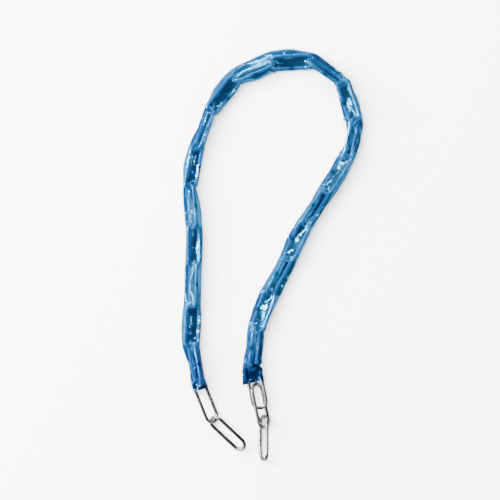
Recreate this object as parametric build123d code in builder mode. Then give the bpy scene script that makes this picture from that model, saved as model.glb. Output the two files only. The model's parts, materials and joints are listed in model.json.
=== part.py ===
"""Sleeved security chain: long steel links, each its own piece, in a soft film sleeve.

The chain lies on its side on a flat surface as a tall open loop. Link 01 is the free end link
of the left leg, link 12 lies across the top of the loop and link 24 is the free end link of
the right leg. +Z is up, +Y points from the free ends to the top of the loop, and the origin
is under the middle of the chain, on the surface that it lies on.
"""
import math
import os

from build123d import *

# ---- one link
link_length = 40.0  # outside, crown to crown
link_width = 15.0  # outside, leg to leg
wire = 3.0  # diameter of the steel wire
weld_length = 2.6  # the butt weld is a low collar half way along one leg
weld_rise = 0.12
weld_bevel = 0.1

# ---- the sleeve
film = 0.4  # wall of the sleeve
sleeve_width = 16.0  # outside, side to side
sleeve_height = 15.0  # outside, from the surface to its top
sleeve_corner = 4.0  # outside corner radius of its section
left_mouth = 5.5  # how far the sleeve runs past the joint of links 02 and 03
right_mouth = 13.0  # how far it runs past the joint of links 21 and 22
span_gap = 0.3  # hairline between two neighbouring spans

# ---- how the chain lies: one entry per link, from link 01 to link 24
# heading of each link in plan, degrees counter-clockwise from +X
headings = [137, 112, 100, 88, 89, 90, 95, 80, 69, 52, 24, 3]
headings += [-35, -71, -102, -122, -123, -116, -118, -110, -97, -78, -78, -90]
# roll of each link about its own length, 0 is flat: flatter and steeper links take turns
rolls = [-42, 39, -62, 28, -62, 44, -62, 42, -62, 34, -64, 30]
rolls += [-64, 38, -58, 48, -56, 38, -56, 32, -62, 10, -46, 62]
link_count = len(headings)

# free play between the crowns of each pair of links, along the chain
taut_play = 0.35  # left leg and top of the loop
slack_play = 1.0  # right leg, where the links have slid together a little
mouth_play = 0.6  # links 02 and 03, which meet at different heights
pushed_back = 17.4  # link 23 lies pushed back inside the eye of link 22
end_play = 6.2  # link 24 hangs loose in the eye of link 23
plays = [taut_play, mouth_play] + [taut_play] * 9
plays += [slack_play] * 10 + [pushed_back, end_play]

# height of each link's middle: those in the sleeve share one, the bare ones lie lower
sleeve_level = sleeve_height / 2
bare_levels = {0: 5.65, 1: 6.5, 21: 6.4, 22: 5.9, 23: 6.95}
first_middle = (-38.45, -150.33)  # of link 01 in plan, which centres the whole chain

crown_radius = (link_width - wire) / 2  # of the wire's centreline
leg_end = link_length / 2 - link_width / 2  # from the link's middle to where a crown starts
crown_reach = (link_length - wire) / 2  # from the link's middle to the crown's wire centre


def direction(index):
    """Unit vector along a link, from its start crown to its end crown."""
    angle = math.radians(headings[index])
    return Vector(math.cos(angle), math.sin(angle), 0)


def level(index):
    return bare_levels.get(index, sleeve_level)


def half_pitch(index):
    """From a link's middle to the joint with the next link."""
    return crown_reach - (wire + plays[index]) / 2


# ---- where the links and the joints between them lie
centres = [Vector(*first_middle)]
joints = []
for index in range(link_count - 1):
    joints.append(centres[index] + direction(index) * half_pitch(index))
    centres.append(joints[index] + direction(index + 1) * half_pitch(index))


def link_plane(index):
    """The plane that a link lies in: x along the link, y across it, rolled about x."""
    roll = math.radians(rolls[index])
    leftward = Vector(0, 0, 1).cross(direction(index))
    normal = Vector(0, 0, math.cos(roll)) - leftward * math.sin(roll)
    middle = centres[index] + Vector(0, 0, level(index))
    return Plane(origin=middle, x_dir=direction(index), z_dir=normal)


# ---- the link, flat at the origin, and its copies
with BuildPart() as link:
    with BuildLine() as centreline:
        Line((-leg_end, crown_radius), (leg_end, crown_radius))
        ThreePointArc((leg_end, crown_radius), (crown_reach, 0), (leg_end, -crown_radius))
        Line((leg_end, -crown_radius), (-leg_end, -crown_radius))
        ThreePointArc((-leg_end, -crown_radius), (-crown_reach, 0), (-leg_end, crown_radius))
    with BuildSketch(Plane((-leg_end, crown_radius, 0), x_dir=(0, 1, 0), z_dir=(1, 0, 0))):
        Circle(wire / 2)
    sweep()
    with BuildSketch(Plane((-weld_length / 2, -crown_radius, 0), x_dir=(0, 1, 0), z_dir=(1, 0, 0))):
        Circle(wire / 2 + weld_rise)
    collar = extrude(amount=weld_length)
    chamfer(collar.edges().filter_by(GeomType.CIRCLE), length=weld_bevel)


def placed_link(index):
    with BuildPart() as placed:
        with Locations(link_plane(index).location):
            add(link.part)
    placed.part.label = f"link_{index + 1:02d}"
    return placed.part


# ---- the sleeve, one straight span along each link, mitred where the chain turns
first_sleeved = 1  # link 02, by its index
last_sleeved = 21  # link 22


def mitre(index):
    """Plane across the joint between a link and the next, halving the turn."""
    across = (direction(index) + direction(index + 1)).normalized()
    return Plane(origin=joints[index] + Vector(0, 0, sleeve_level), z_dir=across)


def square_cut(joint, offset, along):
    return Plane(origin=joint + along * offset + Vector(0, 0, sleeve_level), z_dir=along)


def span_ends(index):
    along = direction(index)
    if index == first_sleeved:
        start = square_cut(joints[index], -left_mouth, along)
    else:
        start = mitre(index - 1).offset(span_gap / 2)
    if index == last_sleeved:
        end = square_cut(joints[index - 1], right_mouth, along)
    else:
        end = mitre(index).offset(-span_gap / 2)
    return start, end


def sleeve_span(index):
    start, end = span_ends(index)
    middle = centres[index] + Vector(0, 0, sleeve_level)
    with BuildPart() as span:
        with BuildSketch(Plane(origin=middle, x_dir=(0, 0, 1), z_dir=direction(index))):
            RectangleRounded(sleeve_height, sleeve_width, sleeve_corner)
            RectangleRounded(
                sleeve_height - 2 * film,
                sleeve_width - 2 * film,
                sleeve_corner - film,
                mode=Mode.SUBTRACT,
            )
        extrude(amount=link_length, both=True)
        split(bisect_by=start, keep=Keep.TOP)
        split(bisect_by=end, keep=Keep.BOTTOM)
    span.part.label = f"sleeve_{index + 1:02d}"
    return span.part


# ---- all the pieces
pieces = [placed_link(index) for index in range(link_count)]
pieces += [sleeve_span(index) for index in range(first_sleeved, last_sleeved + 1)]

if __name__ == "__main__":
    os.makedirs("parts", exist_ok=True)
    box = pieces[0].bounding_box()
    for piece in pieces:
        box = box.add(piece.bounding_box())
        export_step(piece, f"parts/{piece.label}.step")
    inner_joints = range(first_sleeved, last_sleeved - 1)
    sleeve_run = sum((joints[index + 1] - joints[index]).length for index in inner_joints)
    print("links", link_count, "size", box.size, "middle", box.center(), "lowest", box.min.Z)
    print("taut length", link_count * (link_length - 2 * wire) + 2 * wire)
    print("sleeve length", left_mouth + sleeve_run + right_mouth)
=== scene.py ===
"""Looks of the sleeved chain: plated steel links in a thin blue film sleeve."""
import json

import bpy
import numpy as np
from mathutils import Matrix, Vector


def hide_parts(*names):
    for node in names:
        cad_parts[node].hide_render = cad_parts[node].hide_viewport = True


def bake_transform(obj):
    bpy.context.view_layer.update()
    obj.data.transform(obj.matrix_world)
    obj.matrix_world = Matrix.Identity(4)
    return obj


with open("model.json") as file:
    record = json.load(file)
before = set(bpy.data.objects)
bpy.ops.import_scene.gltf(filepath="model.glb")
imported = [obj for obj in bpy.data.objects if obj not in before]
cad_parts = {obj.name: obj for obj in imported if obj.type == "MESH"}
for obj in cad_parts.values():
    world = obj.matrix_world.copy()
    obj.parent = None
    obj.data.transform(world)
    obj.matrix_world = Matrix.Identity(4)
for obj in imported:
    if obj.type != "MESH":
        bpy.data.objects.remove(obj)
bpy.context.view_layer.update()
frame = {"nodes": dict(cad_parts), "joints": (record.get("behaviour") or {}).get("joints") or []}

MM = 0.001
WIRE_RADIUS = 1.5
CROWN_RADIUS = 6.0  # of a link's wire centreline
LEG_END = 12.5  # from a link's middle to where its crown starts
CROWN_REACH = LEG_END + CROWN_RADIUS
FIRST_SLEEVED, LAST_SLEEVED = 2, 22  # link numbers
LINKS = 24
SLIDER = 22  # link 23's place in the arrays, which count from 0
UP = np.array([0.0, 0.0, 1.0])


# ---------------------------------------------------------------- where the links lie
def link_axes(number):
    """Middle (mm), length axis and width axis of a link, from its CAD mesh."""
    mesh = frame["nodes"][f"link_{number:02d}"].data
    centres = np.empty(len(mesh.polygons) * 3)
    areas = np.empty(len(mesh.polygons))
    mesh.polygons.foreach_get("center", centres)
    mesh.polygons.foreach_get("area", areas)
    centres = centres.reshape(-1, 3) / MM
    middle = (centres * areas[:, None]).sum(0) / areas.sum()
    spread = (centres - middle) * np.sqrt(areas)[:, None]
    axes = np.linalg.eigh(spread.T @ spread)[1]
    return middle, axes[:, 2], axes[:, 1]


middles, alongs, widths = (np.array(x) for x in zip(*[link_axes(k + 1) for k in range(LINKS)]))
for k in range(LINKS):
    ahead = middles[min(k + 1, LINKS - 1)] - middles[max(k - 1, 0)]
    alongs[k] *= np.sign(alongs[k] @ ahead)
    leftward = np.cross(UP, alongs[k])
    widths[k] *= np.sign(widths[k] @ leftward)
normals = np.cross(alongs, widths)
starts = middles[:-1] + alongs[:-1] * CROWN_REACH
ends = middles[1:] - alongs[1:] * CROWN_REACH
joints = (starts + ends) / 2  # joints[k] lies between links k + 1 and k + 2


def span_reach(number, sign):
    """Where a sleeve span ends along its link, from the link's middle, mm."""
    mesh = frame["nodes"][f"sleeve_{number:02d}"].data
    points = np.array([v.co for v in mesh.vertices]) / MM
    return sign * ((points - middles[number - 1]) @ alongs[number - 1] * sign).max()


# ---------------------------------------------------------------- the film's route
ROW = 1.0  # mm between the rows of the simulated film
PERIMETER = 46.0  # of the film tube, mm
COLUMNS = 46
LEVEL = 7.4  # height of the route, mm
ROUTE_STEP = 0.25  # mm between the points that the corners are rounded on
ROUTE_MARGIN = 30  # mm of straight run beyond each mouth
ROUNDING, ROUNDING_REACH = 3.5, 12  # mm, of the bell curve that rounds the corners


def mouth(number, sign):
    """The point at which the sleeve ends along a link."""
    return middles[number - 1] + alongs[number - 1] * span_reach(number, sign)


knots = [mouth(FIRST_SLEEVED, -1)]
for number in range(FIRST_SLEEVED, LAST_SLEEVED):
    knots.append(joints[number - 1])
    if number + 1 < LAST_SLEEVED:
        knots.append(middles[number])
knots.append(mouth(LAST_SLEEVED, 1))
knots = np.array(knots)
knots[:, 2] = LEVEL
# sections run from mid link to mid link; the first and the last one end in a mouth
marks = [0] + list(range(2, len(knots) - 1, 2)) + [len(knots) - 1]
run = np.concatenate([[0], np.cumsum(np.linalg.norm(np.diff(knots, axis=0), axis=1))])
row_at = []
section_rows = [0]
for a, b in zip(marks[:-1], marks[1:]):
    count = max(2, int(round((run[b] - run[a]) / ROW)))
    row_at += list(np.linspace(run[a], run[b], count, endpoint=False))
    section_rows.append(section_rows[-1] + count)
row_at = np.array(row_at + [run[-1]])
ROWS = len(row_at)


def smooth_route():
    """Centre line and direction at each row, with the corners rounded."""
    fine = np.arange(-ROUTE_MARGIN, run[-1] + ROUTE_MARGIN, ROUTE_STEP)
    line = np.stack([np.interp(fine, run, knots[:, i]) for i in range(3)], 1)
    for gap, first, second in ((-fine, knots[0], knots[1]), (fine - run[-1], knots[-1], knots[-2])):
        out = (first - second) / np.linalg.norm(first - second)
        line[gap > 0] = first + gap[gap > 0][:, None] * out
    window = np.arange(-ROUNDING_REACH, ROUNDING_REACH + ROUTE_STEP, ROUTE_STEP)
    kernel = np.exp(-0.5 * (window / ROUNDING) ** 2)
    kernel /= kernel.sum()
    line = np.stack([np.convolve(line[:, i], kernel, mode="same") for i in range(3)], 1)
    tangent = np.gradient(line, axis=0)
    tangent /= np.linalg.norm(tangent, axis=1)[:, None]
    return [
        np.stack([np.interp(row_at, fine, values[:, i]) for i in range(3)], 1)
        for values in (line, tangent)
    ]


centre, tangent = smooth_route()
leftwards = np.cross(UP, tangent)
leftwards /= np.linalg.norm(leftwards, axis=1)[:, None]

# what the film keeps clear of: the links, and link 23 again where it slides back to its stop
SLIDE_BACK = 3.0  # mm
guards = [np.vstack([x, x[SLIDER]]) for x in (middles, alongs, widths, normals)]
guards[0][LINKS] -= alongs[SLIDER - 1] * SLIDE_BACK

# the three links nearest to each row, and the pushed-back link near the right mouth
near = np.empty((ROWS, 4), int)
nearest = np.argmin(np.linalg.norm(centre[:, None, :2] - middles[None, :, :2], axis=2), axis=1)
near[:, 0] = np.clip(nearest - 1, 0, LINKS - 1)
near[:, 1] = nearest
near[:, 2] = np.clip(nearest + 1, 0, LINKS - 1)
near[:, 3] = np.where(nearest == SLIDER - 1, LINKS, nearest)


# ---------------------------------------------------------------- the film, settled on the links
FILM_OFF = 0.22  # mm from a wire's surface to the film
FLOOR_OFF = 0.2
WEB = 0.3  # half the gap between the film's two sides inside an eye
KEPT_SPEED = 0.9  # share of a point's speed that it keeps at each step
SINK = 0.004  # mm that the film sinks at each step
SWEEPS = 3  # over all cell edges, at each step
TIGHTNESS = 0.98  # a cell's rest length along the chain, as a share of the starting tube's
STIFFNESS = 0.3  # against bending
ACROSS_MEMORY = 0.035  # how strongly the film goes back to its loose width
HEIGHT_MEMORY = 0.003  # and to its loose height
START_HALF_WIDTH, START_HALF_HEIGHT = 9.6, 8.8  # mm, of the tube that the film starts as


def smooth_noise(cell_rows, cell_columns, seed, scale=1):
    """Smooth random values on the film's grid, about -1 to 1, joined round the tube.

    A cell of the noise is that many rows by about that many columns. A scale of 2 is for the
    grid that finer() makes."""
    tall, round_it = (ROWS - 1) * scale + 1, COLUMNS * scale
    draw = np.random.default_rng(seed)
    high = int(np.ceil(ROWS / cell_rows)) + 4
    wide = max(3, int(round(COLUMNS / cell_columns)))
    coarse = draw.normal(size=(high, wide))
    r = np.arange(tall) / scale / cell_rows + 1
    c = np.arange(round_it) / round_it * wide
    r0 = np.floor(r).astype(int)
    c0 = np.floor(c).astype(int)
    fr = (r - r0)[:, None]
    fc = (c - c0)[None, :]
    fr = fr * fr * (3 - 2 * fr)
    fc = fc * fc * (3 - 2 * fc)
    here, beyond = (c0 % wide)[None, :], ((c0 + 1) % wide)[None, :]
    low = coarse[r0[:, None], here] * (1 - fc) + coarse[r0[:, None], beyond] * fc
    top = coarse[r0[:, None] + 1, here] * (1 - fc) + coarse[r0[:, None] + 1, beyond] * fc
    return low * (1 - fr) + top * fr


def grid_normals(p):
    """Outward direction at every point of the film's grid."""
    lengthwise = np.gradient(p, axis=0)
    around = np.roll(p, -1, 1) - np.roll(p, 1, 1)
    n = np.cross(around, lengthwise)
    return n / np.maximum(np.linalg.norm(n, axis=2), 1e-9)[..., None]


def off_wire(p, which, reach):
    """How film points move to clear the wire of their row's link, and where in its eye they lie.

    That is their distance, in the link's plane, from the line between the centres of its two
    crowns, and their height over the plane."""
    mid, u, w, n = (axis[which] for axis in guards)
    q = p - mid[:, None]
    x = np.einsum("ijk,ik->ij", q, u)
    y = np.einsum("ijk,ik->ij", q, w)
    z = np.einsum("ijk,ik->ij", q, n)
    over = x - np.clip(x, -LEG_END, LEG_END)
    rho = np.maximum(np.hypot(over, y), 1e-6)
    dr = rho - CROWN_RADIUS
    dist = np.maximum(np.hypot(dr, z), 1e-6)
    push = np.maximum(reach - dist, 0) / dist
    move = (dr * over / rho * push)[..., None] * u[:, None]
    move += (dr * y / rho * push)[..., None] * w[:, None] + (z * push)[..., None] * n[:, None]
    return move, rho, z


def keep_out(p, reach, beside):
    """Pushes film points out of the wires beside them, the eyes' middle planes and the floor."""
    for slot in range(4):
        which = beside[:, slot]
        live = (which != beside[:, 1]) | (slot == 1)
        move, rho, z = off_wire(p, which, reach)
        p += move * live[:, None, None]
        if slot < 3:
            # inside the eye the film from both sides meets at the middle plane
            inside = (rho < CROWN_RADIUS) & (np.abs(z) < WEB) & live[:, None]
            lift = np.where(inside, np.sign(z) * (WEB - np.abs(z)), 0)
            p += lift[..., None] * guards[3][which][:, None]
    p[..., 2] = np.maximum(p[..., 2], FLOOR_OFF)


def pull(a, b, rest, give, share=1.0):
    """Brings two views of points towards their rest distance, by that share of the way.

    give is how much of that they do where they are too near each other."""
    d = b - a
    length = np.maximum(np.linalg.norm(d, axis=-1), 1e-6)
    part = 1 - rest / length
    part = np.where(part < 0, part * give, part) * 0.5 * share
    d *= part[..., None]
    a += d
    b -= d


def recall(back):
    """The pull towards the loose shape, mostly sideways."""
    back = back * ACROSS_MEMORY
    back[..., 2] *= HEIGHT_MEMORY / ACROSS_MEMORY
    return back


def settle(p, steps, suction, shape):
    """Position-based film: it resists stretch, gives a little when squeezed, and bends softly."""
    around = np.full((ROWS, COLUMNS), PERIMETER / COLUMNS)
    around *= 1 + 0.05 * smooth_noise(4, 3, 5)
    spacing = np.linalg.norm(np.diff(p, axis=0), axis=2)
    level = np.linalg.norm(np.diff(centre, axis=0), axis=1)[:, None]
    along = np.maximum(spacing * TIGHTNESS, level)
    along *= 1 + 0.04 * smooth_noise(3, 4, 6)[:-1]
    skew = np.hypot(along, around[:-1])
    before = p.copy()
    for _ in range(steps):
        speed = (p - before) * KEPT_SPEED
        before = p.copy()
        p = p + speed - grid_normals(p) * suction[..., None] + recall(shape - p)
        p[..., 2] -= SINK
        for _ in range(SWEEPS):
            for odd in (0, 1):
                end = odd + (ROWS - odd) // 2 * 2
                pull(p[odd:end:2], p[odd + 1 : end : 2], along[odd:end:2], give=0.8)
            pull(p[:, 0::2], p[:, 1::2], around[:, 0::2], give=0.9)
            rolled = np.roll(p, -1, 1)
            pull(rolled[:, 0::2], rolled[:, 1::2], around[:, 1::2], give=0.9)
            p = np.roll(rolled, 1, 1)
            # the cells' diagonals, first one way and then the other
            for odd in (0, 1):
                end = odd + (ROWS - odd) // 2 * 2
                low, high = p[odd:end:2], p[odd + 1 : end : 2]
                for way in (-1, 1):
                    turned = np.roll(high, way, 1)
                    pull(low, turned, skew[odd:end:2], give=0.3, share=0.35)
                    high[:] = np.roll(turned, -way, 1)
            lap = (np.roll(p, 1, 1) + np.roll(p, -1, 1)) / 2 - p
            lap[1:-1] = lap[1:-1] / 2 + ((p[2:] + p[:-2]) / 2 - p[1:-1]) / 2
            bend = (np.roll(lap, 1, 1) + np.roll(lap, -1, 1)) / 2 - lap
            bend[1:-1] = bend[1:-1] / 2 + ((lap[2:] + lap[:-2]) / 2 - lap[1:-1]) / 2
            p -= STIFFNESS * bend
            keep_out(p, WIRE_RADIUS + FILM_OFF, near)
    return p


# how far the loose film stands out to its left and right, mm, where it differs from ROUND:
# beside the middle of link 3, 4 ..., and at 3.5 beside the joint of links 3 and 4
ROUND = (7.1, 7.0)
BAGS = {
    2.5: (6.3, 6.4), 3: (4.6, 6.3), 3.5: (8.2, 7.0), 4: (9.6, 7.0), 4.5: (8.1, 6.5), 5: (6.8, 7.2),
    5.5: (7.5, 7.0), 6: (6.8, 7.8), 6.5: (6.8, 7.5), 7: (6.8, 7.7), 7.5: (6.0, 5.1), 8: (9.4, 6.0),
    8.5: (7.2, 6.2), 9: (5.0, 5.3), 9.5: (5.8, 4.6), 10: (10.4, 5.0), 10.5: (9.0, 5.2),
    11: (10.8, 9.8), 11.5: (10.8, 8.6), 12: (11.8, 5.0), 12.5: (6.9, 6.8), 13: (6.6, 3.2),
    13.5: (5.2, 6.0), 14: (8.2, 7.2), 14.5: (6.4, 9.6), 15: (7.6, 3.4), 15.5: (6.1, 8.4),
    16: (8.2, 6.6), 16.5: (7.6, 7.8), 17: (6.2, 6.6), 17.5: (7.2, 7.3), 18: (7.3, 8.8),
    18.5: (7.4, 7.6), 19: (8.0, 7.7), 19.5: (9.0, 8.4), 20: (7.2, 8.8), 20.5: (6.8, 8.2),
    21: (6.8, 7.5), 21.5: (7.4, 8.4), 22: (8.0, 11.5),
}
HALF_HEIGHT = 7.1  # mm, of the loose film
SIDE_OFF = 0.3  # mm, least distance from a link's side to the loose film
ANGLES = np.arange(COLUMNS) / COLUMNS * 2 * np.pi  # round the tube, from its left side over its top


def link_sides():
    """Half the width of the link at each row, seen from above, mm."""
    level = np.hypot(widths[nearest, 0], widths[nearest, 1])
    return CROWN_RADIUS * level + WIRE_RADIUS


def along_links(values, usual):
    """Values given beside the links, or by half numbers beside the joints, at every row."""
    keys = np.arange(2 * FIRST_SLEEVED, 2 * LAST_SLEEVED + 1) / 2
    places = [middles[int(k) - 1] if k == int(k) else joints[int(k) - 1] for k in keys]
    step = np.concatenate([[0], np.cumsum(np.linalg.norm(np.diff(centre, axis=0), axis=1))])
    at = []
    for place in places:
        row = np.argmin(np.linalg.norm(centre[:, :2] - place[:2], axis=1))
        at.append(step[row] + (place - centre[row]) @ tangent[row])
    given = np.array([values.get(k, usual) for k in keys.tolist()], float)
    if given.ndim == 1:
        return np.interp(step, at, given)
    return np.stack([np.interp(step, at, given[:, i]) for i in range(given.shape[1])], 1)


def loose_shape():
    """The oval that the film would take with no links in it, at every film point."""
    sides = along_links(BAGS, ROUND)
    kernel = np.hanning(11)
    kernel /= kernel.sum()
    padded = np.pad(sides, ((5, 5), (0, 0)), mode="edge")
    sides = np.stack([np.convolve(padded[:, i], kernel, mode="valid") for i in (0, 1)], 1)
    sides = np.maximum(sides, link_sides()[:, None] + SIDE_OFF)
    middle = (sides[:, 0] - sides[:, 1]) / 2
    half = sides.sum(1) / 2
    across = middle[:, None] + half[:, None] * np.cos(ANGLES)
    rise = HALF_HEIGHT * np.sin(ANGLES)
    return centre[:, None] + across[..., None] * leftwards[:, None] + rise[None, :, None] * UP


def film_start():
    """A tube wide enough to clear every link, from which the film settles inwards."""
    across = START_HALF_WIDTH * np.cos(ANGLES)
    rise = START_HALF_HEIGHT * np.sin(ANGLES)
    p = centre[:, None] + across[None, :, None] * leftwards[:, None] + rise[None, :, None] * UP
    wobble = 0.3 * smooth_noise(5, 4, 1) + 0.25 * smooth_noise(2.5, 2, 2)
    p += wobble[..., None] * grid_normals(p)
    keep_out(p, WIRE_RADIUS + FILM_OFF, near)
    return p


def finer(q):
    """The grid at twice the points each way, on cubic curves."""
    mid = (-np.roll(q, 1, 1) + 9 * q + 9 * np.roll(q, -1, 1) - np.roll(q, -2, 1)) / 16
    wide = np.empty((q.shape[0], q.shape[1] * 2, 3))
    wide[:, 0::2], wide[:, 1::2] = q, mid
    pad = np.concatenate([2 * wide[:1] - wide[1:2], wide, 2 * wide[-1:] - wide[-2:-1]])
    between = (-pad[:-3] + 9 * pad[1:-2] + 9 * pad[2:-1] - pad[3:]) / 16
    tall = np.empty((wide.shape[0] * 2 - 1, wide.shape[1], 3))
    tall[0::2], tall[1::2] = wide, between
    return tall


# the film is drawn in from above, and a little from below, most beside the middle of each link
SUCTION, EYE_SUCTION, EYE_SPREAD = 0.022, 0.020, 9.0  # mm at each step, the same, and mm
LEAST_LID = -0.35  # sine of the angle below which the underside is all drawn in alike
STEPS, QUICK_STEPS = 150, 60
from_middle = np.linalg.norm(centre[:, :2] - middles[nearest, :2], axis=1)
by_middle = np.exp(-0.5 * (from_middle / EYE_SPREAD) ** 2)
lid = np.clip(np.sin(ANGLES), LEAST_LID, 1) ** 2
suction = (SUCTION + EYE_SUCTION * by_middle[:, None]) * lid * (1 + 0.5 * smooth_noise(12, 10, 3))
film = settle(film_start(), STEPS, suction, loose_shape())


# how creased the film is beside each link, 1 is much
CREASED = {
    2.5: 0.2, 3: 0.15, 4: 0.7, 4.5: 0.6, 5: 0.9, 6: 0.3, 6.5: 0.6, 7: 0.9, 8: 0.3, 8.5: 0.9, 9: 0.5,
    10: 0.45, 11: 0.25, 12: 0.4, 12.5: 0.6, 13: 0.6, 13.5: 0.8, 14: 0.8, 14.5: 1.0, 15: 1.1,
    16: 1.0, 17: 0.7, 18: 0.5, 19: 0.9, 19.5: 0.7, 20: 1.0, 21: 0.9, 21.5: 1.1, 22: 1.1,
}
CREASE_WIDTH = 0.75  # mm from a crease's line to where the film is flat again
# cell size of the noise whose zero lines are the creases, their height (mm) and the noise's seed
CREASES = (((9, 12), 0.44, 21), ((6, 7), 0.36, 22), ((4, 4.6), 0.28, 23))


def creases():
    """Sharp folds that wander over the film, mm along the normal."""
    cell = ROW / 2
    total = 0
    for cells, height, seed in CREASES:
        field = smooth_noise(*cells, seed, 2)
        up = np.gradient(field, axis=0) / cell
        around = (np.roll(field, -1, 1) - np.roll(field, 1, 1)) / (2 * cell)
        away = np.abs(field) / np.maximum(np.hypot(up, around), 0.05)
        total = total + height * np.maximum(1 - away / CREASE_WIDTH, 0)
    patches = np.clip(0.55 + 0.7 * smooth_noise(13, 12, 14, 2), 0, 1)
    amount = along_links(CREASED, 0.5)
    amount = np.interp(np.arange(2 * ROWS - 1) / 2, np.arange(ROWS), amount)
    return total * patches * amount[:, None]


fine_film = finer(film)
fine_film += creases()[..., None] * grid_normals(fine_film)
fine_near = np.repeat(near, 2, axis=0)[:-1]

FINE_OFF = FILM_OFF * 0.8  # mm from a wire's surface to the creased film
BEND_REACH = 4.0  # mm from a joint to the points on its links between which the film bends
BENT_OFF = 0.12  # mm from a wire's surface to the bent film
EASING_ROUNDS = 6


def bend_points(number):
    """Where the film over the joint after this link starts and ends its bend, mm."""
    joint = joints[number - 1]
    return joint - alongs[number - 1] * BEND_REACH, joint + alongs[number] * BEND_REACH


def make_room(number, p):
    """Eases film outwards where a wire would press through it at the limits of the joint after a link."""
    joint = next(j for j in frame["joints"] if j["name"] == f"pivot_{number:02d}_{number + 1:02d}")
    pivot = np.array(joint["pos_m"]) / MM
    sense = 1 if joint["child"] == f"link_{number + 1:02d}" else -1
    start, end = bend_points(number)
    way = end - start
    share = np.clip((p - start) @ way / (way @ way), 0, 1)
    share = (share * share * (3 - 2 * share))[..., None]
    before, after = np.full(len(p), number - 1), np.full(len(p), number)
    for limit in joint["range_deg"]:
        for part in (0.5, 1.0):
            angle = np.radians(limit * part * sense)
            turn = np.array(Matrix.Rotation(angle, 3, Vector(joint["axis"])))
            bent = p + share * ((p - pivot) @ turn.T + pivot - p)
            move = off_wire(bent, before, WIRE_RADIUS + BENT_OFF)[0]
            move += off_wire((bent - pivot) @ turn + pivot, after, WIRE_RADIUS + BENT_OFF)[0] @ turn.T
            hit = np.abs(move).sum(2) > 0
            skewed = np.eye(3) + share[hit][..., None] * (turn - np.eye(3))
            p[hit] += np.linalg.solve(skewed, move[hit][..., None])[..., 0]


for _ in range(EASING_ROUNDS):
    keep_out(fine_film, WIRE_RADIUS + FINE_OFF, fine_near)
    for place, number in enumerate(range(FIRST_SLEEVED, LAST_SLEEVED)):
        make_room(number, fine_film[section_rows[place] * 2 : section_rows[place + 1] * 2 + 1])
keep_out(fine_film, WIRE_RADIUS + FINE_OFF, fine_near)
fine_normals = grid_normals(fine_film)


# ---------------------------------------------------------------- materials
def new_material(name):
    """An empty node material, its tree and its output."""
    material = bpy.data.materials.new(name)
    material.use_nodes = True
    tree = material.node_tree
    tree.nodes.clear()
    output = tree.nodes.new("ShaderNodeOutputMaterial")
    return material, tree, output


def add(tree, kind, values=(), **properties):
    """A new node with these input values and properties."""
    node = tree.nodes.new(kind)
    for key, value in properties.items():
        setattr(node, key, value)
    for key, value in dict(values).items():
        node.inputs[key].default_value = value
    return node


def ramp(tree, source, stops):
    """A colour ramp over source, with (place, colour) stops."""
    node = add(tree, "ShaderNodeValToRGB")
    elements = node.color_ramp.elements
    while len(elements) < len(stops):
        elements.new(0.5)
    for element, (place, colour) in zip(elements, stops):
        element.position = place
        element.color = (*colour, 1)
    tree.links.new(source, node.inputs[0])
    return node


def add_math(tree, operation, first, second):
    """The result of a math node on sockets or numbers; a third input stays at a half."""
    node = add(tree, "ShaderNodeMath", operation=operation)
    node.inputs[2].default_value = 0.5
    for socket, value in zip(node.inputs, (first, second)):
        if isinstance(value, (int, float)):
            socket.default_value = value
        else:
            tree.links.new(value, socket)
    return node.outputs["Value"]


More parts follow.
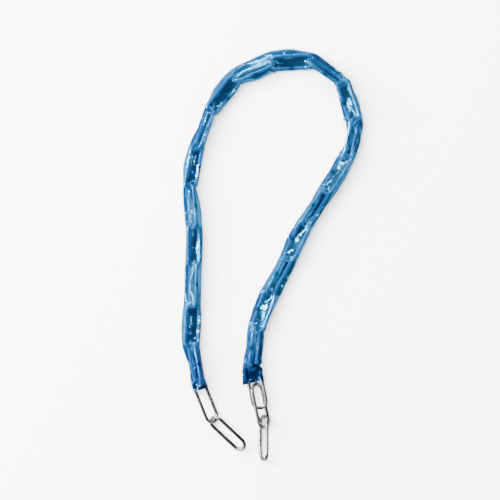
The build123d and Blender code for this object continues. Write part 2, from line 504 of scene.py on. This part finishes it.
def steel_material(number):
    """Zinc plate, a little hazed, with a dull patch at the butt weld.

    The links at the ends, outside the sleeve, are darker and sharper than those under the film. The two
    tones are painted light: the same steel is coloured far lighter under the film, to make up for the
    light that the film takes from it, and dark at the bare ends, for dark wire edges."""
    material, tree, output = new_material(f"zinc_plate_{number:02d}")
    link = tree.links.new
    place = add(tree, "ShaderNodeTexCoord")
    haze = add(tree, "ShaderNodeTexNoise", {"Scale": 220.0, "Detail": 4.0, "Roughness": 0.6})
    link(place.outputs["Object"], haze.inputs["Vector"])
    patches = add(tree, "ShaderNodeTexNoise", {"Scale": 60.0, "Detail": 2.0})
    link(place.outputs["Object"], patches.inputs["Vector"])
    bare = number <= FIRST_SLEEVED or number >= LAST_SLEEVED
    # painted light: the links under the film get a far lighter steel colour than the bare ones, standing
    # in for the light that the film takes from them, and the bare ones a dark colour for dark wire edges
    if bare:
        dull, bright, rough_range = (0.07, 0.073, 0.08), (0.16, 0.16, 0.165), (0.17, 0.30)
        gloss = {"Metallic": 1.0, "Specular Tint": (0.06, 0.06, 0.07, 1)}
    else:
        dull, bright, rough_range = (0.82, 0.84, 0.86), (0.93, 0.94, 0.95), (0.26, 0.42)
        gloss = {"Metallic": 0.5, "Specular Tint": (0.8, 0.8, 0.8, 1)}
    colour = ramp(tree, patches.outputs["Fac"], [(0.3, dull), (0.7, bright)])
    weld = middles[number - 1] - widths[number - 1] * CROWN_RADIUS
    offset = add(tree, "ShaderNodeVectorMath", operation="DISTANCE")
    link(place.outputs["Object"], offset.inputs[0])
    offset.inputs[1].default_value = tuple(weld * MM)
    burnt = ramp(
        tree,
        add_math(tree, "MULTIPLY", offset.outputs["Value"], 100.0),
        [(0.15, (1, 1, 1)), (0.28, (0.25, 0.25, 0.25)), (0.55, (0, 0, 0))],
    )
    mix = add(tree, "ShaderNodeMix", data_type="RGBA")
    link(burnt.outputs["Color"], mix.inputs["Factor"])
    link(colour.outputs["Color"], mix.inputs["A"])
    mix.inputs["B"].default_value = (0.20, 0.18, 0.17, 1)
    shader = add(tree, "ShaderNodeBsdfPrincipled", gloss)
    link(mix.outputs["Result"], shader.inputs["Base Color"])
    rough = add(tree, "ShaderNodeMapRange", {"From Min": 0.3, "From Max": 0.7})
    rough.inputs["To Min"].default_value, rough.inputs["To Max"].default_value = rough_range
    link(haze.outputs["Fac"], rough.inputs["Value"])
    link(rough.outputs["Result"], shader.inputs["Roughness"])
    bump = add(tree, "ShaderNodeBump", {"Strength": 0.25, "Distance": 0.0001})
    link(haze.outputs["Fac"], bump.inputs["Height"])
    link(bump.outputs["Normal"], shader.inputs["Normal"])
    link(shader.outputs["BSDF"], output.inputs["Surface"])
    return material


def film_material():
    """Thin glossy blue film, more see-through face on than edge on."""
    material, tree, output = new_material("blue_film")
    link = tree.links.new
    place = add(tree, "ShaderNodeUVMap", uv_map="film")
    clouds = add(tree, "ShaderNodeTexNoise", {"Scale": 90.0, "Detail": 3.0, "Roughness": 0.55})
    link(place.outputs["UV"], clouds.inputs["Vector"])
    tints = [(0.3, (0.013, 0.080, 0.155)), (0.7, (0.036, 0.19, 0.31))]
    tint = ramp(tree, clouds.outputs["Fac"], tints)
    # the film's colour is darker towards both mouths
    along = add(tree, "ShaderNodeSeparateXYZ")
    link(place.outputs["UV"], along.inputs[0])
    ends = ramp(
        tree,
        add_math(tree, "MULTIPLY", along.outputs["X"], 1.5),
        [(0.03, (1, 1, 1)), (0.085, (0, 0, 0)), (0.915, (0, 0, 0)), (0.955, (1, 1, 1))],
    )
    darker_at_mouths = add(tree, "ShaderNodeMix", data_type="RGBA")
    link(ends.outputs["Color"], darker_at_mouths.inputs["Factor"])
    link(tint.outputs["Color"], darker_at_mouths.inputs["A"])
    darker_at_mouths.inputs["B"].default_value = (0.010, 0.045, 0.12, 1)
    gloss = {"Metallic": 0.85, "Roughness": 0.10, "IOR": 1.5, "Specular Tint": (0.02, 0.10, 0.20, 1)}
    shader = add(tree, "ShaderNodeBsdfPrincipled", gloss)
    link(darker_at_mouths.outputs["Result"], shader.inputs["Base Color"])
    crumple = {"Scale": 420.0, "Detail": 3.0, "Roughness": 0.6, "Distortion": 0.6}
    fine = add(tree, "ShaderNodeTexNoise", crumple)
    link(place.outputs["UV"], fine.inputs["Vector"])
    bump = add(tree, "ShaderNodeBump", {"Strength": 0.25, "Distance": 0.0004})
    link(fine.outputs["Fac"], bump.inputs["Height"])
    link(bump.outputs["Normal"], shader.inputs["Normal"])
    clear = add(tree, "ShaderNodeBsdfTransparent", {"Color": (0.085, 0.215, 0.40, 1)})
    edge = add(tree, "ShaderNodeLayerWeight", {"Blend": 0.35})
    share = add(tree, "ShaderNodeMapRange", {"To Min": 0.27, "To Max": 0.66})
    link(edge.outputs["Facing"], share.inputs["Value"])
    mix = add(tree, "ShaderNodeMixShader")
    link(share.outputs["Result"], mix.inputs["Fac"])
    link(clear.outputs["BSDF"], mix.inputs[1])
    link(shader.outputs["BSDF"], mix.inputs[2])
    link(mix.outputs["Shader"], output.inputs["Surface"])
    return material


for number in range(1, LINKS + 1):
    node = frame["nodes"][f"link_{number:02d}"]
    plate = steel_material(number)
    for slot in node.material_slots:
        slot.material = plate
    for polygon in node.data.polygons:
        polygon.use_smooth = True

blue_film = film_material()


# ---------------------------------------------------------------- the film's pieces
THICKNESS = 0.15  # mm, of the film where its edge shows
LIP_ROWS = 5  # rows of the fine grid that turn in at a mouth


def lip(number):
    """The rows that turn in at a mouth, to give its cut edge the film's thickness."""
    inner = slice(1, LIP_ROWS + 1) if number == FIRST_SLEEVED else slice(-LIP_ROWS - 1, -1)
    return fine_film[inner] - fine_normals[inner] * THICKNESS, -fine_normals[inner]


def film_piece(number, first, last):
    """The film from one mid link to the next, or to a mouth, cut from the settled grid."""
    rows = fine_film[first : last + 1]
    shade = fine_normals[first : last + 1].copy()
    length = row_at[last // 2] - row_at[first // 2]
    if number in (FIRST_SLEEVED, LAST_SLEEVED - 1):
        length += LIP_ROWS * ROW / 2
    if number == FIRST_SLEEVED:
        inner, inner_shade = lip(number)
        shade[0] -= tangent[0]
        rows = np.concatenate([inner[::-1], rows])
        shade = np.concatenate([inner_shade[::-1], shade])
        first -= LIP_ROWS
    elif number == LAST_SLEEVED - 1:
        inner, inner_shade = lip(number)
        shade[-1] += tangent[-1]
        rows = np.concatenate([rows, inner[::-1]])
        shade = np.concatenate([shade, inner_shade[::-1]])
    shade /= np.linalg.norm(shade, axis=2)[..., None]
    tall, wide = rows.shape[:2]
    index = np.arange(tall * wide).reshape(tall, wide)
    beside = np.roll(index, -1, 1)
    faces = np.stack([beside[:-1], beside[1:], index[1:], index[:-1]], -1).reshape(-1, 4)
    mesh = bpy.data.meshes.new(f"film_{number:02d}")
    mesh.from_pydata((rows.reshape(-1, 3) * MM).tolist(), [], faces.tolist())
    uv = mesh.uv_layers.new(name="film")
    row = faces // wide + first
    column = faces % wide
    seam = column.max(1) - column.min(1) > 1
    column[seam] = np.where(column[seam] == 0, wide, column[seam])
    values = np.stack([row * ROW / 2 * MM, column * PERIMETER / wide * MM], -1)
    uv.data.foreach_set("uv", values.astype(np.float32).ravel())
    mesh.polygons.foreach_set("use_smooth", np.ones(len(mesh.polygons), bool))
    mesh.normals_split_custom_set_from_vertices(shade.reshape(-1, 3).tolist())
    mesh.update()
    piece = bpy.data.objects.new(f"film_{number:02d}", mesh)
    bpy.context.scene.collection.objects.link(piece)
    piece.data.materials.append(blue_film)
    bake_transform(piece)
    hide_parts(f"sleeve_{number:02d}")
    if number == LAST_SLEEVED - 1:
        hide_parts(f"sleeve_{number + 1:02d}")


for place, number in enumerate(range(FIRST_SLEEVED, LAST_SLEEVED)):
    film_piece(number, section_rows[place] * 2, section_rows[place + 1] * 2)


# ---------------------------------------------------------------- floor, light and camera
FLOOR_HALF = 3.0  # m
LENS, SENSOR = 254.0, 36.0  # mm
PICTURE_WIDTH = 0.425  # m, seen across at the sleeve's height
SEEN = (-0.0194, 0.0055, 0.0075)  # m, the point at the picture's middle


def floor():
    """A plain pale floor."""
    mesh = bpy.data.meshes.new("floor")
    corners = [(x * FLOOR_HALF, y * FLOOR_HALF, 0) for x, y in ((-1, -1), (1, -1), (1, 1), (-1, 1))]
    mesh.from_pydata(corners, [], [(0, 1, 2, 3)])
    plane = bpy.data.objects.new("floor", mesh)
    bpy.context.scene.collection.objects.link(plane)
    material, tree, output = new_material("floor")
    grain = add(tree, "ShaderNodeTexNoise", {"Scale": 3.0, "Detail": 2.0})
    colour = ramp(tree, grain.outputs["Fac"], [(0.3, (0.90, 0.90, 0.90)), (0.7, (0.93, 0.93, 0.93))])
    shader = add(tree, "ShaderNodeBsdfPrincipled", {"Roughness": 0.9})
    tree.links.new(colour.outputs["Color"], shader.inputs["Base Color"])
    tree.links.new(shader.outputs["BSDF"], output.inputs["Surface"])
    mesh.materials.append(material)


def area_light(name, place, size, power):
    """A rectangular light, aimed at the origin."""
    light = bpy.data.lights.new(name, "AREA")
    light.shape = "RECTANGLE"
    light.size, light.size_y = size
    light.energy = power
    lamp = bpy.data.objects.new(name, light)
    lamp.location = place
    lamp.rotation_mode = "QUATERNION"
    lamp.rotation_quaternion = (-Vector(place)).to_track_quat("-Z", "Y")
    bpy.context.scene.collection.objects.link(lamp)
    return lamp


floor()
# the broad light fills the scene and the strips draw the highlights
area_light("broad", (-0.35, 0.25, 1.8), (1.3, 1.3), 130.0).visible_glossy = False
area_light("key", (-1.25, 0.40, 0.85), (0.06, 1.5), 150.0)
area_light("side", (-1.3, -0.3, 0.45), (0.05, 1.3), 85.0)
area_light("top", (-0.10, 1.2, 0.9), (1.4, 0.05), 66.0)
area_light("rim", (1.1, -0.3, 0.6), (0.04, 0.9), 10.0)


def studio_world():
    """A soft surround, bright up and to the left, dim low on the right."""
    world = bpy.data.worlds.new("studio")
    world.use_nodes = True
    tree = world.node_tree
    way = add(tree, "ShaderNodeTexCoord")
    toward = add(tree, "ShaderNodeVectorMath", operation="DOT_PRODUCT")
    tree.links.new(way.outputs["Generated"], toward.inputs[0])
    toward.inputs[1].default_value = (-0.80, 0.40, 0.45)
    bright = ramp(
        tree,
        add_math(tree, "MULTIPLY_ADD", toward.outputs["Value"], 0.5),
        [
            (0.45, (0.05, 0.055, 0.07)),
            (0.72, (0.58, 0.59, 0.61)),
            (0.86, (0.90, 0.90, 0.90)),
            (0.98, (3.0, 3.0, 3.0)),
        ],
    )
    back = tree.nodes["Background"]
    tree.links.new(bright.outputs["Color"], back.inputs["Color"])
    back.inputs["Strength"].default_value = 0.6
    bpy.context.scene.world = world


studio_world()

lens_view = bpy.data.cameras.new("camera")
lens_view.lens = LENS
lens_view.sensor_width = SENSOR
lens_view.clip_start, lens_view.clip_end = 0.01, 50.0
camera = bpy.data.objects.new("camera", lens_view)
camera.location = (SEEN[0], SEEN[1], SEEN[2] + PICTURE_WIDTH * LENS / SENSOR)
bpy.context.scene.collection.objects.link(camera)
bpy.context.scene.camera = camera
